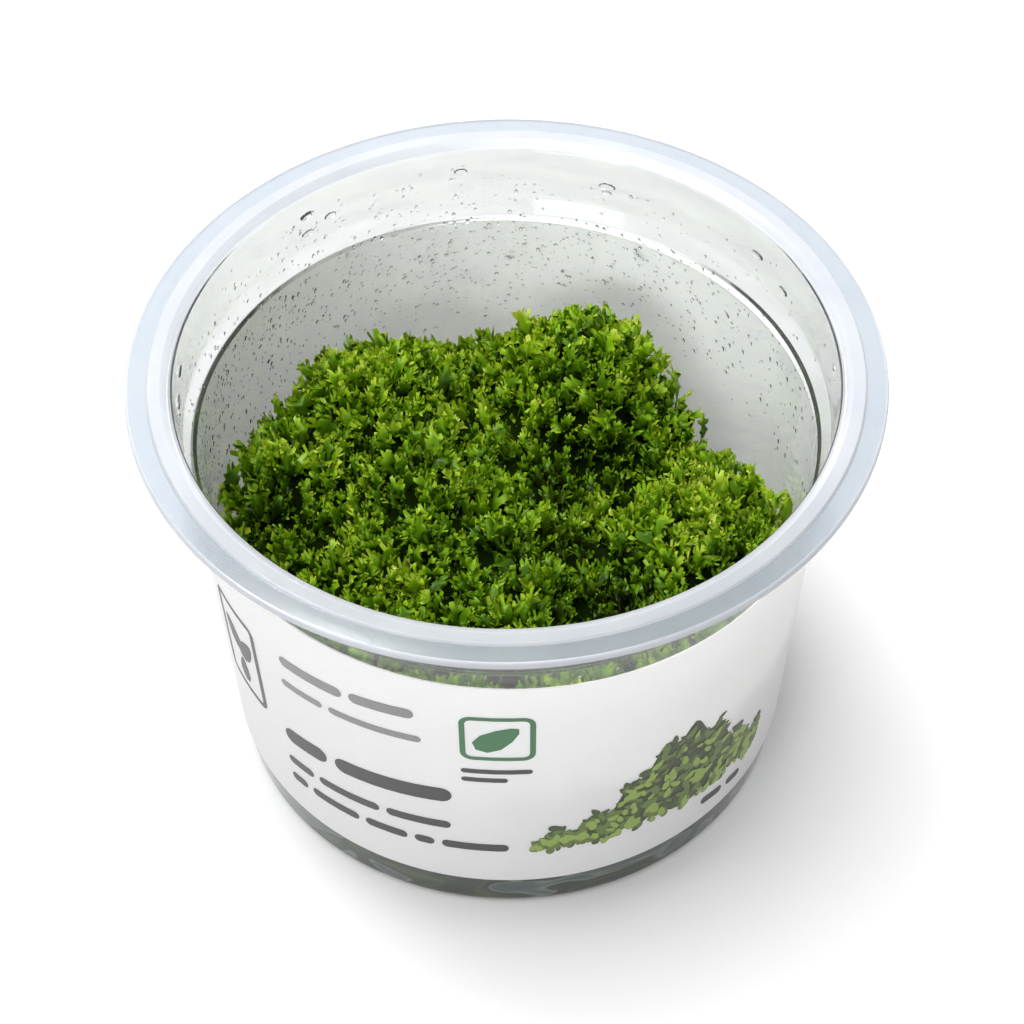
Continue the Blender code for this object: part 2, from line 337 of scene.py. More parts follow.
slow_cooled_plastic("MilkyPolypropyleneBead", "B9BCC4", "CDD0D4", 0.45, 0.18)
slow_cooled_plastic("CloudyPolypropyleneFlange", "BAC4CE", "CAD0D6", 0.72, 0.18)
slow_cooled_plastic("FlowMarkedPolypropyleneNeck", "C2C5C4", "DCDFDE", 0.96, 0.06)
for polygon in cup.data.polygons:
    reach = math.hypot(polygon.center.x, polygon.center.y)
    if reach > FLANGE_ROOT_RADIUS and polygon.center.z > FLANGE_ROOT_HEIGHT:
        on_flat = FLAT_INNER_RADIUS < reach < FLAT_OUTER_RADIUS
        polygon.material_index = FLAT_SLOT if on_flat else BEAD_SLOT
    elif polygon.center.z > NECK_FOOT_HEIGHT:
        polygon.material_index = NECK_SLOT
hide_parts("cup")
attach(cup, "root")

# Label. A band of coated paper wrapped round the tapered wall and stuck to it, its top edge
# slightly out of level.
LABEL_TOP = 53.3 * MM
LABEL_BOTTOM = 6.8 * MM
LABEL_RISE_TO_LEFT = 1.0 * MM
LABEL_RISE_TO_BACK = 0.6 * MM
LABEL_GAP = 0.30 * MM
LABEL_THICKNESS = 0.2 * MM
EDGE_ANGLE = math.radians(40.0)


def label_edge(bearing, share):
    """Height on the label, share 0 at its bottom edge and 1 at its top edge."""
    rise = LABEL_RISE_TO_BACK * math.sin(bearing) - LABEL_RISE_TO_LEFT * math.cos(bearing)
    return LABEL_BOTTOM + (LABEL_TOP + rise - LABEL_BOTTOM) * share


def wrapped(piece, across, thickness, gap):
    """Lay a piece round the cup, outside the wall, and give the sheet its thickness."""
    for vertex in piece.data.vertices:
        bearing, height = across(vertex.co)
        radius = wall_radius(height) + gap
        vertex.co = (radius * math.cos(bearing), radius * math.sin(bearing), height)
    sheet = piece.modifiers.new("Sheet", "SOLIDIFY")
    sheet.thickness = thickness
    sheet.offset = 1.0
    bpy.ops.object.modifier_apply(modifier=sheet.name)
    bpy.ops.object.shade_smooth_by_angle(angle=EDGE_ANGLE)


def round_label(place):
    """Bearing and height of a point of the closed band, which is a unit tube before it is laid."""
    bearing = math.atan2(place.y, place.x)
    return bearing, label_edge(bearing, place.z + 0.5)


bpy.ops.object.select_all(action="DESELECT")
bpy.ops.mesh.primitive_cylinder_add(
    vertices=TURNED_SIDES, radius=1.0, depth=1.0, end_fill_type="NOTHING"
)
label = bpy.context.active_object
label.name = label.data.name = "Label"
wrapped(label, round_label, LABEL_THICKNESS, LABEL_GAP)

# Label paper, made from pulp and coated on its printed side: that side has a soft shine, the bare
# side is dull. Both colours are painted light and shade: the printed side is painted grey, darker
# than white paper, as painted shade that holds down the light on the front, and the bare side, seen
# through the wall from inside, is painted brighter as painted light on the inside of the wall.
# Fibres show as specks of about 0.7 mm, drawn coarser than the real ones so that they show at all,
# and some light soaks through the sheet.
FIBRE = 0.714 * MM
SOAKS_THROUGH = 0.38
PRINTED_SIDE, BARE_SIDE = 0, 1


def paper_side(name, dull_hex, white_hex, roughness):
    """One side of the label paper, added to the label's materials."""
    side, side_shader = new_material(name)
    side_shader.inputs["Roughness"].default_value = roughness
    sheet = add_node(side, "ShaderNodeTexCoord")
    fibre = add_node(side, "ShaderNodeTexNoise", [
        ("Vector", sheet.outputs["Object"]),
        ("Scale", 1.0 / FIBRE),
        ("Detail", 3.0),
    ])
    add_node(side, "ShaderNodeMix", [
        (MIX_SHARE, fibre.outputs["Fac"]),
        (MIX_FIRST, linear(dull_hex)),
        (MIX_SECOND, linear(white_hex)),
    ], [(MIX_RESULT, side_shader.inputs["Base Color"])], data_type="RGBA")
    add_node(side, "ShaderNodeBump", [
        ("Height", fibre.outputs["Fac"]),
        ("Strength", 0.08),
        ("Distance", 0.05 * MM),
    ], [("Normal", side_shader.inputs["Normal"])])
    glow = add_node(side, "ShaderNodeBsdfTranslucent", [("Color", linear("FAFAF8"))])
    add_node(side, "ShaderNodeMixShader", [
        (0, SOAKS_THROUGH),
        (1, side_shader.outputs[0]),
        (2, glow.outputs[0]),
    ], [(0, surface_of(side))])
    label.data.materials.append(side)


# The printed side is painted grey as painted shade, the bare side painted bright white as painted
# light.
paper_side("CoatedLabelPaperPaintedShade", "D4D4D6", "DCDCDD", 0.42)
paper_side("BareLabelPaperPaintedLight", "F6F5F5", "FCFBFB", 0.75)
for polygon in label.data.polygons:
    outwards = Vector((polygon.center.x, polygon.center.y, 0.0))
    polygon.material_index = BARE_SIDE if polygon.normal.dot(outwards) < 0.0 else PRINTED_SIDE
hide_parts("label")
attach(label, "root")

# Label print. Printing ink on the paper, a few hundredths of a millimetre proud: a plain pattern of
# bars, a dark frame and a green one with leaf shapes in them, each colour one joined piece.
PRINT_LIFT = 0.02 * MM
INK_THICKNESS = 0.02 * MM
ARC_PER_DEGREE = 0.72 * MM
BEND_STEP = 3.0
CORNER_SEGMENTS = 5
BAR_ROUNDNESS = 0.48
FRAME_CORNER = 1.6
LEAF_SIDES = 10
LEAF_HALF_WIDTH = 0.26
LEAF_TAPER = 0.35
LARGE_LEAF = 4.0


def flat_piece(name, corner_radius, left, right, bottom, top, rise):
    """A flat round-cornered shape on the unrolled label: left and right in degrees, the rest in mm."""
    bpy.ops.object.select_all(action="DESELECT")
    bpy.ops.mesh.primitive_plane_add(size=1.0)
    piece = bpy.context.active_object
    piece.name = piece.data.name = name
    for vertex in piece.data.vertices:
        vertex.co.x = (left + (right - left) * (vertex.co.x + 0.5)) * ARC_PER_DEGREE
        vertex.co.y = (bottom + (top - bottom) * (vertex.co.y + 0.5)) * MM
    bpy.ops.object.mode_set(mode="EDIT")
    bpy.ops.mesh.select_all(action="SELECT")
    bpy.ops.mesh.bevel(
        offset=corner_radius * MM, offset_type="OFFSET", segments=CORNER_SEGMENTS, affect="VERTICES"
    )
    bpy.ops.object.mode_set(mode="OBJECT")
    for vertex in piece.data.vertices:
        vertex.co.y += rise * MM * (vertex.co.x / ARC_PER_DEGREE - left) / (right - left)
    return piece


def cut_to_bend(piece):
    """Cut a flat shape every few degrees, so that it can follow the round of the cup."""
    reach = [vertex.co.x / ARC_PER_DEGREE for vertex in piece.data.vertices]
    first_cut = math.ceil(min(reach) / BEND_STEP)
    last_cut = math.floor(max(reach) / BEND_STEP)
    bpy.ops.object.mode_set(mode="EDIT")
    for cut in range(first_cut, last_cut + 1):
        place = (cut * BEND_STEP * ARC_PER_DEGREE, 0.0, 0.0)
        bpy.ops.mesh.select_all(action="SELECT")
        bpy.ops.mesh.bisect(plane_co=place, plane_no=(1.0, 0.0, 0.0))
    bpy.ops.object.mode_set(mode="OBJECT")
    return piece


def ink_bar(left, right, bottom, height, rise=0.0):
    """A printed bar with round ends; left and right in degrees round the cup, the rest in mm."""
    corner = height * BAR_ROUNDNESS
    return cut_to_bend(flat_piece("InkBar", corner, left, right, bottom, bottom + height, rise))


def ink_frame(left, right, bottom, top, line):
    """A printed round-cornered frame, its line so many mm wide."""
    ring = flat_piece("InkFrame", FRAME_CORNER, left, right, bottom, top, 0.0)
    bpy.ops.object.mode_set(mode="EDIT")
    bpy.ops.mesh.select_all(action="SELECT")
    bpy.ops.mesh.inset(thickness=line * MM, use_boundary=True)
    bpy.ops.mesh.delete(type="FACE")
    bpy.ops.object.mode_set(mode="OBJECT")
    return cut_to_bend(ring)


def ink_leaf(angle, height, length, turn):
    """A small pointed leaf; its place in degrees and mm, its length in mm, its turn in radians."""
    bpy.ops.object.select_all(action="DESELECT")
    bpy.ops.mesh.primitive_circle_add(vertices=LEAF_SIDES, radius=1.0, fill_type="NGON")
    leaf = bpy.context.active_object
    for vertex in leaf.data.vertices:
        along = vertex.co.y * length * MM / 2.0
        out = vertex.co.x * length * MM * LEAF_HALF_WIDTH * (1.0 - LEAF_TAPER * vertex.co.y)
        vertex.co.x = angle * ARC_PER_DEGREE + out * math.cos(turn) - along * math.sin(turn)
        vertex.co.y = height * MM + out * math.sin(turn) + along * math.cos(turn)
    return cut_to_bend(leaf) if length > LARGE_LEAF else leaf


# Printing ink, dried flat: an even dull colour, a third lighter in dots of 0.4 mm, the screen that a
# printer lays ink in, drawn coarser than the real one so that it shows.
INK_DOT = 0.4 * MM
INK_LIGHTER = 1.3
INK_BASE = 0.006


def print_on_label(name, parts, hex_colour, level):
    """Join flat ink shapes, wrap them round the label, give them thickness and an ink material."""
    bpy.ops.object.select_all(action="DESELECT")
    for part in parts:
        part.select_set(True)
    bpy.context.view_layer.objects.active = parts[0]
    if len(parts) > 1:
        bpy.ops.object.join()
    piece = bpy.context.active_object
    piece.name = piece.data.name = name

    def on_label(place):
        """Bearing and height of a point of the flat print."""
        return math.radians(place.x / ARC_PER_DEGREE) - math.pi / 2.0, place.y

    gap = LABEL_GAP + LABEL_THICKNESS + PRINT_LIFT * (1 + level)
    wrapped(piece, on_label, INK_THICKNESS, gap)
    ink, ink_shader = new_material(name + "Ink")
    ink_shader.inputs["Roughness"].default_value = 0.45
    spot = add_node(ink, "ShaderNodeTexCoord")
    dots = add_node(ink, "ShaderNodeTexNoise", [
        ("Vector", spot.outputs["Object"]),
        ("Scale", 1.0 / INK_DOT),
    ])
    dark = linear(hex_colour)
    light = [min(value * INK_LIGHTER + INK_BASE, 1.0) for value in dark[:3]] + [1.0]
    add_node(ink, "ShaderNodeMix", [
        (MIX_SHARE, dots.outputs["Fac"]),
        (MIX_FIRST, dark),
        (MIX_SECOND, light),
    ], [(MIX_RESULT, ink_shader.inputs["Base Color"])], data_type="RGBA")
    piece.data.materials.clear()
    piece.data.materials.append(ink)
    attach(piece, "root")


print_on_label("PrintThinLines", [
    ink_bar(-45.5, -31.0, 42.0, 2.1, 0.8),
    ink_bar(-29.5, -17.0, 43.0, 2.1, 0.8),
    ink_bar(-46.0, -36.0, 37.2, 1.4, 0.6),
    ink_bar(-34.5, -16.0, 37.9, 1.4, 0.8),
], "6A6A6A", 0)
print_on_label("PrintBoldLines", [
    ink_bar(-48.0, -37.0, 23.2, 3.2, 0.9),
    ink_bar(-35.0, -11.0, 24.3, 3.2, 1.4),
    ink_bar(-48.5, -41.5, 17.6, 1.7, 0.3),
    ink_bar(-40.0, -26.0, 18.0, 1.7, 0.6),
    ink_bar(-24.5, -11.5, 18.7, 1.7, 0.4),
    ink_bar(-48.5, -44.0, 13.5, 1.7, 0.1),
    ink_bar(-42.5, -31.0, 13.7, 1.7, 0.2),
    ink_bar(-29.5, -20.5, 14.0, 1.7, 0.1),
    ink_bar(-19.0, -15.0, 14.2, 1.7, 0.0),
    ink_bar(-13.5, -0.5, 14.3, 1.7, 0.0),
    ink_bar(-9.0, 4.0, 33.4, 1.0),
    ink_bar(-9.0, -0.5, 31.4, 1.0),
    ink_bar(41.0, 47.0, 10.6, 1.6, -0.4),
    ink_bar(48.5, 53.0, 10.1, 1.6, -0.3),
    ink_frame(-68.0, -53.5, 25.0, 43.0, 0.9),
    ink_leaf(-62.8, 36.2, 6.0, 0.55),
    ink_leaf(-58.4, 35.2, 6.0, -0.6),
    ink_leaf(-60.6, 29.6, 5.0, 0.0),
], "303030", 0)
print_on_label("PrintGreenFrame", [
    ink_frame(-9.0, 4.5, 36.6, 46.4, 0.75),
    ink_leaf(-2.3, 41.5, 7.4, -0.85),
], "2F5A38", 0)

# Printed heap of leaves. A dark mass of ink with small leaves in three greens laid over it, as a
# plain picture of a plant: each lighter green lies on the one before and reaches less high.
MOUND_LEFT = 8.0
MOUND_WIDTH = 48.0
MOUND_COLUMNS = 44
MOUND_ROWS = 20
MOUND_FOOT = 15.5
MOUND_EDGE = 1.2
MOUND_TOP = 17.5
MOUND_PEAK = 16.5
MOUND_PEAK_ANGLE = 35.0
MOUND_SPREAD = 15.0
PRINT_SEED = 21
PRINTED_GREENS = (("333D1C", 260, 1.0), ("4B5C26", 220, 0.92), ("6E8238", 130, 0.80))


def mound_top(angle):
    """Height in mm of the printed mound's upper edge at an angle, a low rounded heap."""
    heap = MOUND_PEAK * math.exp(-(((angle - MOUND_PEAK_ANGLE) / MOUND_SPREAD) ** 2))
    return MOUND_TOP + heap + 1.4 * math.sin(angle * 0.9)


bpy.ops.object.select_all(action="DESELECT")
bpy.ops.mesh.primitive_grid_add(x_subdivisions=MOUND_COLUMNS, y_subdivisions=MOUND_ROWS, size=1.0)
mass = bpy.context.active_object
for vertex in mass.data.vertices:
    angle = MOUND_LEFT + MOUND_WIDTH * (vertex.co.x + 0.5)
    share = vertex.co.y + 0.5
    base = MOUND_FOOT + 0.8 * math.sin(angle * 0.7)
    vertex.co.x = angle * ARC_PER_DEGREE
    vertex.co.y = (base + (mound_top(angle) - MOUND_EDGE - base) * share) * MM
print_on_label("PrintMound", [mass], "262D18", 0)
draw = random.Random(PRINT_SEED)
for level, (hex_colour, leaf_count, depth) in enumerate(PRINTED_GREENS):
    leaves = []
    while len(leaves) < leaf_count:
        angle = draw.uniform(4.0, 58.0)
        low = 13.6 + 1.4 * abs(math.sin(angle * 0.35))
        high = 14.5 + (mound_top(angle) - 14.5) * depth
        if high - low < 1.0:
            continue
        height = draw.uniform(low, high)
        leaves.append(ink_leaf(angle, height, draw.uniform(1.2, 2.4), draw.gauss(0.0, 0.8)))
    print_on_label(f"PrintLeaves{level + 1}", leaves, hex_colour, level + 1)

# Jelly. A shallow layer of nutrient jelly, cast hot into the cup, so that it wets the floor, the foot
# and the wall with no air between and is drawn up where it meets the wall.
JELLY_TOP = 7.7 * MM
JELLY_GRIP = 0.12 * MM
JELLY_CLIMB = 0.7 * MM
JELLY_CLIMB_WIDTH = 2.7 * MM
JELLY_FOOT_CLEARANCE = 0.30 * MM
JELLY_HEEL_CLEARANCE = 0.45 * MM
WET_RECESS_RADIUS = 31.0 * MM
WET_FOOT_RADIUS = 33.6 * MM
WET_FOOT = 0.3 * MM
jelly = turned("Jelly", rounded([
    (0.0, FLOOR_TOP - JELLY_GRIP, 0.0),
    (WET_RECESS_RADIUS, FLOOR_TOP - JELLY_GRIP, 0.5 * MM),
    (WET_FOOT_RADIUS, WET_FOOT, 0.3 * MM),
    (BASE_RADIUS - JELLY_FOOT_CLEARANCE, WET_FOOT, 0.7 * MM),
    (wall_radius(FLOOR_TOP) - JELLY_HEEL_CLEARANCE, FLOOR_TOP, 0.3 * MM),
    (wall_radius(JELLY_TOP) - WALL + JELLY_GRIP, JELLY_TOP + JELLY_CLIMB, 0.0),
    (wall_radius(JELLY_TOP) - WALL - JELLY_CLIMB_WIDTH, JELLY_TOP, 1.5 * MM),
    (0.0, JELLY_TOP, 0.0),
]))

# Nutrient jelly, cast and wet. Its dark olive is partly the roots and old fronds that stand in it
# and partly painted shade, the shade of the mat above; its grey smears, about 16 mm long and half as
# high, are painted reflections of the wall where the jelly wets it.
SMEAR = 16.1 * MM
SMEAR_FLATNESS = 2.2
OLIVE_PAINTED_SHADE = ((0.30, "161F06"), (0.75, "3B4547"))
SHADE_AND_REFLECTION_BANDS = (
    (0.44, "1B230A"), (0.475, "3B461D"), (0.51, "1D250D"),
    (0.565, "222914"), (0.58, "6E786E"), (0.60, "434D4E"),
)
# Painted shade and painted reflection: the dark olive stands partly for the mat's shade, the grey
# smears for the wall's reflections.
medium, medium_shader = new_material("NutrientJelly")
medium_shader.inputs["Transmission Weight"].default_value = 0.05
medium_shader.inputs["Specular IOR Level"].default_value = 0.1
medium_shader.inputs["IOR"].default_value = 1.34
medium_shader.inputs["Roughness"].default_value = 0.06
gel = add_node(medium, "ShaderNodeTexCoord")
stretched = add_node(medium, "ShaderNodeMapping", [
    ("Vector", gel.outputs["Object"]),
    ("Scale", (1.0, 1.0, SMEAR_FLATNESS)),
])
smear = add_node(medium, "ShaderNodeTexNoise", [
    ("Vector", stretched.outputs["Vector"]),
    ("Scale", 1.0 / SMEAR),
    ("Detail", 1.5),
    ("Distortion", 1.2),
])
patches = add_node(medium, "ShaderNodeValToRGB", [("Fac", smear.outputs["Fac"])], [
    ("Color", medium_shader.inputs["Base Color"]),
])
for stop, (position, hex_colour) in zip(patches.color_ramp.elements, OLIVE_PAINTED_SHADE):
    stop.position = position
    stop.color = linear(hex_colour)
for position, hex_colour in SHADE_AND_REFLECTION_BANDS:
    patches.color_ramp.elements.new(position).color = linear(hex_colour)
jelly.data.materials.append(medium)
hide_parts("jelly")
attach(jelly, "root")

# Heart of the mat. The old fronds under the new ones, darker than them, and painted near black
# where they show between them, as painted shade in the gaps. It rests on the jelly and fills the cup
# like the solid it stands for.
HEART_DEPTH = 4.0 * MM
HEART_FOOT = 9.0 * MM
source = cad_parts["liverwort"]
bpy.ops.object.select_all(action="DESELECT")
heart = bpy.data.objects.new("MatHeart", source.data.copy())
bpy.context.scene.collection.objects.link(heart)
heart.data.transform(source.matrix_world)
bpy.context.view_layer.objects.active = heart
heart.select_set(True)
bpy.ops.object.mode_set(mode="EDIT")
bpy.ops.mesh.select_all(action="SELECT")
bpy.ops.mesh.remove_doubles(threshold=0.01 * MM)
bpy.ops.mesh.normals_make_consistent(inside=False)
bpy.ops.object.mode_set(mode="OBJECT")
form = heart.data.copy()
for vertex in heart.data.vertices:
    vertex.select = vertex.co.z > HEART_FOOT
bpy.ops.object.mode_set(mode="EDIT")
bpy.ops.mesh.select_mode(type="VERT")
bpy.ops.mesh.vertices_smooth(factor=0.5, repeat=5)
bpy.ops.transform.shrink_fatten(value=-HEART_DEPTH)
bpy.ops.object.mode_set(mode="OBJECT")
heart.data.shade_smooth()

# Old fronds, grown over: dull, near black green, partly their own dark colour and partly painted
# shade for the gaps deep between the fronds, mottled every 2 mm or so as one decayed frond gives way
# to the next.
OLD_FROND = 2.0 * MM
# Painted shade: the near black stands for the shade deep between the fronds.
old_fronds_and_shade, old_shader = new_material("OldFrondsAndPaintedShade")
old_shader.inputs["Roughness"].default_value = 0.8
old_shader.inputs["Specular IOR Level"].default_value = 0.0
decay = add_node(old_fronds_and_shade, "ShaderNodeTexCoord")
rot = add_node(old_fronds_and_shade, "ShaderNodeTexNoise", [
    ("Vector", decay.outputs["Object"]),
    ("Scale", 1.0 / OLD_FROND),
    ("Detail", 3.0),
])
add_node(old_fronds_and_shade, "ShaderNodeMix", [
    (MIX_SHARE, rot.outputs["Fac"]),
    (MIX_FIRST, linear("081003")),
    (MIX_SECOND, linear("182608")),
], [(MIX_RESULT, old_shader.inputs["Base Color"])], data_type="RGBA")
heart.data.materials.clear()
heart.data.materials.append(old_fronds_and_shade)
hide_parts("liverwort")
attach(heart, "root")

# Fronds. Flat thalli a few millimetres long that open into ruffled, toothed blades, wet and fresh
# green, paler at the tips and edges, partly their own colour and partly painted light. A few outlines
# are drawn once; each frond is a bent and turned copy, set with its tips at the mat's surface and
# gathered with its neighbours into small tufts.
FROND_SEED = 5
FROND_SHAPES = 18
FROND_PIECES = 4
FROND_LENGTH = 6.2
FROND_THICKNESS = 0.24
BLADE_CENTRE = 0.61
BLADE_RISE = 0.37
BLADE_FALL = 0.34
BLADE_OPENING = 124.0
NOTCH = 0.76
STEM_HALF_WIDTHS = (0.34, 0.44)
HEAD_SHARE = 0.55
SAMPLE_COUNT = 36000
TOP_SAMPLES = 16000
TOP_SPACING = 1.35 * MM
UNDER_SPACING = 1.25 * MM
TUFT_SPACING = 4.6 * MM
TALL_SHARE = 0.07
TALL_SINK = -2.5 * MM
FOOT_LEVEL = 12.0 * MM
WALL_GAP = 0.15 * MM
chance = np.random.default_rng(FROND_SEED)


def lobed_margin(wide, centre):
    """The blade's outline in mm, a row of scallops with two deep forks, and where the forks are."""
    lobes = int(chance.integers(7, 10))
    borders = np.radians(np.linspace(BLADE_OPENING, -BLADE_OPENING, lobes + 1))
    borders = borders + chance.uniform(-0.10, 0.10, lobes + 1)
    turns, reach = [borders[0]], [NOTCH]
    for left, right in zip(borders, borders[1:]):
        size = chance.uniform(0.84, 1.12)
        for share, bulge in ((0.30, 1.0), (0.70, 1.0), (1.0, NOTCH)):
            turns.append(left + (right - left) * share)
            reach.append(bulge * size)
    turns, reach = np.array(turns), np.array(reach)
    forks = 3 * chance.choice(np.arange(2, lobes - 1), size=2, replace=False)
    reach[forks] *= chance.uniform(0.50, 0.75, 2)
    tall = FROND_LENGTH * np.where(np.cos(turns) > 0.0, BLADE_RISE, BLADE_FALL)
    fan = wide * (0.84 + 0.16 * np.cos(turns))
    margin = np.stack([fan * np.sin(turns) * reach, centre + tall * np.cos(turns) * reach], axis=1)
    return margin, reach, forks


def frond_shape():
    """One closed frond, in mm: points, triangles, nearness to a tip and to an edge for each point."""
    wide = chance.uniform(1.10, 1.85)
    stretch = chance.uniform(0.94, 1.20)
    centre = FROND_LENGTH * BLADE_CENTRE
    margin, reach, forks = lobed_margin(wide, centre)
    heart_of_blade = np.array([0.0, centre])
    foot_width, neck_width = STEM_HALF_WIDTHS
    stem = [np.array([foot_width, 0.0]), np.array([neck_width, FROND_LENGTH * 0.26])]
    outline = stem + list(margin) + [point * (-1.0, 1.0) for point in stem[::-1]]
    inside = [
        heart_of_blade + (margin[index] - heart_of_blade) * (0.5 / max(reach[index], 0.8))
        for index in range(2, len(margin) - 1, 5) if index not in forks
    ]
    spine = [np.array([0.0, FROND_LENGTH * share]) for share in (0.2, 0.42)] + [heart_of_blade] + inside
    count = len(outline)
    flat_points = [Vector(point) for point in outline + spine]
    found = delaunay_2d_cdt(flat_points, [], [list(range(count))], 1, 1e-5)
    verts, faces, origins = found[0], found[2], found[3]
    verts = np.array([vert[:] for vert in verts])
    on_edge = np.array([any(index < count for index in origin) for origin in origins])
    inner = np.flatnonzero(~on_edge)
    under = {index: len(verts) + order for order, index in enumerate(inner)}
    points = np.zeros((len(verts) + len(inner), 3))
    points[:len(verts), 0], points[:len(verts), 2] = verts.T
    points[len(verts):] = points[inner]
    points[inner, 1] += FROND_THICKNESS / 2.0
    points[len(verts):, 1] -= FROND_THICKNESS / 2.0
    triangles = []
    for face in faces:
        for corner in range(1, len(face) - 1):
            tri = (face[0], face[corner], face[corner + 1])
            triangles.append(tri[::-1])
            triangles.append(tuple(under.get(index, index) for index in tri))
    along = points[:, 2]
    from_heart = np.hypot(points[:, 0] / wide, (along - centre) / (FROND_LENGTH * BLADE_FALL))
    round_blade = np.arctan2(points[:, 0], along - centre)
    tip = np.clip(along / FROND_LENGTH, 0.0, 1.0) * 0.7
    tip = tip + 0.3 * np.clip(from_heart, 0.0, 1.0) * (along > FROND_LENGTH * 0.4)
    edge = np.concatenate([on_edge, np.zeros(len(inner), bool)]) * (along > FROND_LENGTH * 0.35)
    ruffle = np.sin(round_blade * chance.uniform(4.6, 7.0) + chance.uniform(0.0, 6.28))
    ruffle = ruffle * chance.uniform(0.40, 0.62) * np.clip(from_heart, 0.0, 1.1) ** 2
    points[:, 1] += ruffle * (along > FROND_LENGTH * 0.3)
    points[:, 1] += chance.uniform(0.03, 0.20) * points[:, 0] ** 2
    points[:, 2] *= stretch
    return points, np.array(triangles), tip, edge.astype(float)


def surface_samples(mesh, count, low):
    """Random places on a mesh above a height, spread by area: points and their normals."""
    mesh.calc_loop_triangles()
    corners = np.array([[mesh.vertices[i].co for i in tri.vertices] for tri in mesh.loop_triangles])
    smooth = np.array([[mesh.vertices[i].normal for i in tri.vertices] for tri in mesh.loop_triangles])
    keep = corners[:, :, 2].mean(axis=1) > low
    corners, smooth = corners[keep], smooth[keep]
    cross = np.cross(corners[:, 1] - corners[:, 0], corners[:, 2] - corners[:, 0])
    area = np.linalg.norm(cross, axis=1)
    pick = chance.choice(len(area), size=count, p=area / area.sum())
    a, b = chance.random((2, count))
    over = a + b > 1.0
    a[over], b[over] = 1.0 - a[over], 1.0 - b[over]
    weights = np.stack([1.0 - a - b, a, b], axis=1)[:, :, None]
    points = (corners[pick] * weights).sum(axis=1)
    normals = (smooth[pick] * weights).sum(axis=1)
    return points, normals / np.linalg.norm(normals, axis=1)[:, None]


def spaced(points, gap):
    """Indices of points of which no two are nearer than the gap, as plants keep their distance."""
    taken, cells = [], {}
    for index, point in enumerate(points):
        cell = tuple(int(value // gap) for value in point)
        near = [
            other
            for x in (-1, 0, 1) for y in (-1, 0, 1) for z in (-1, 0, 1)
            for other in cells.get((cell[0] + x, cell[1] + y, cell[2] + z), ())
        ]
        if all(((points[other] - point) ** 2).sum() > gap * gap for other in near):
            cells.setdefault(cell, []).append(index)
            taken.append(index)
    return taken


def unit(vectors):
    """Vectors scaled to length one."""
    return vectors / np.maximum(np.linalg.norm(vectors, axis=-1, keepdims=True), 1e-9)


def bell(centre_x, centre_y, spread):
    """Each frond's share in a round patch of the mat, 1 at its centre; places in millimetres."""
    return np.exp(-((plan_x - centre_x) ** 2 + (plan_y - centre_y) ** 2) / spread ** 2)


# Where the fronds stand: close together over the mat's surface, and a second layer deeper in.
places, outward = surface_samples(form, SAMPLE_COUNT, FOOT_LEVEL)
top = spaced(places[:TOP_SAMPLES], TOP_SPACING)
below = [index + TOP_SAMPLES for index in spaced(places[TOP_SAMPLES:], UNDER_SPACING)]
places, outward = places[top + below], outward[top + below]
frond_count = len(places)
on_top = np.arange(frond_count) < len(top)

# How large each frond is, how much it curls over and how deep it sits; a few stand proud.
tall = on_top & (chance.random(frond_count) < TALL_SHARE)
top_sizes = chance.uniform(0.72, 1.12, frond_count)
sizes = np.where(on_top, top_sizes, chance.uniform(0.60, 0.85, frond_count)) * MM
sizes[tall] *= 1.12
top_curls = chance.uniform(6.0, 50.0, frond_count)
curls = np.radians(np.where(on_top, top_curls, chance.uniform(10.0, 80.0, frond_count)))
top_sink = chance.uniform(0.0, 1.0, frond_count) ** 1.4 * 2.4 - 1.1
sink = np.where(on_top, top_sink, chance.uniform(1.3, 3.8, frond_count)) * MM
sink[tall] = TALL_SINK
steep = (1.0 - np.clip(outward[:, 2], 0.0, 1.0))[:, None]
tufts = places[spaced(places, TUFT_SPACING)]
from_tuft = np.array([place - tufts[np.argmin(((tufts - place) ** 2).sum(axis=1))] for place in places])
from_tuft = from_tuft / (TUFT_SPACING / 2.0)
rim_of_tuft = np.clip(np.linalg.norm(from_tuft, axis=1), 0.0, 1.4)
sink += (0.75 * rim_of_tuft ** 2 - 0.45) * MM
shapes = [frond_shape() for _ in range(FROND_SHAPES)]

# Which way each frond grows and faces: up, out of the mat and away from the middle of its tuft.
upright = np.array([0.0, 0.0, 1.0])
axes = outward * (0.35 + 0.4 * steep) + from_tuft * 0.42 + upright
axes = unit(axes + chance.normal(0.0, 0.16, (frond_count, 3)))
bearing = chance.normal(math.pi / 2.0, 1.0, frond_count)
lean = np.stack([np.cos(bearing), np.sin(bearing), np.zeros(frond_count)], axis=1)
lean = unit(lean + outward * np.array([0.5, 0.5, 0.0]))
across = unit(np.cross(lean, axes))
face = np.cross(axes, across)
face[(face * lean).sum(axis=1) > 0.0] *= -1.0
across = np.cross(face, axes)
kinds = chance.integers(0, FROND_SHAPES, frond_count)

# How light each frond is, from dark to yellow green, and how brown: the mat drifts in tone over
# patches of about 9 mm, with a pale clump at its right. Painted shade is mixed in: the cleft down
# its middle is painted darker and browner, and the deeper layer and the rims of tufts darker, where
# shade falls between fronds.
TONE_PATCH = 9.0 * MM
plan_x, plan_y = places[:, 0] / MM, places[:, 1] / MM
drift = np.array([noise.noise(Vector(place) / TONE_PATCH) for place in places])
cleft = np.maximum.reduce([bell(6.0, 4.0, 5.5), bell(9.0, -6.0, 6.0), bell(12.0, -15.0, 6.0)])
freshness_and_shade = 0.535 + 0.28 * drift + chance.normal(0.0, 0.055, frond_count)
freshness_and_shade += 0.16 * bell(24.0, -4.0, 12.0) + 0.10 * bell(-25.0, 22.0, 12.0)
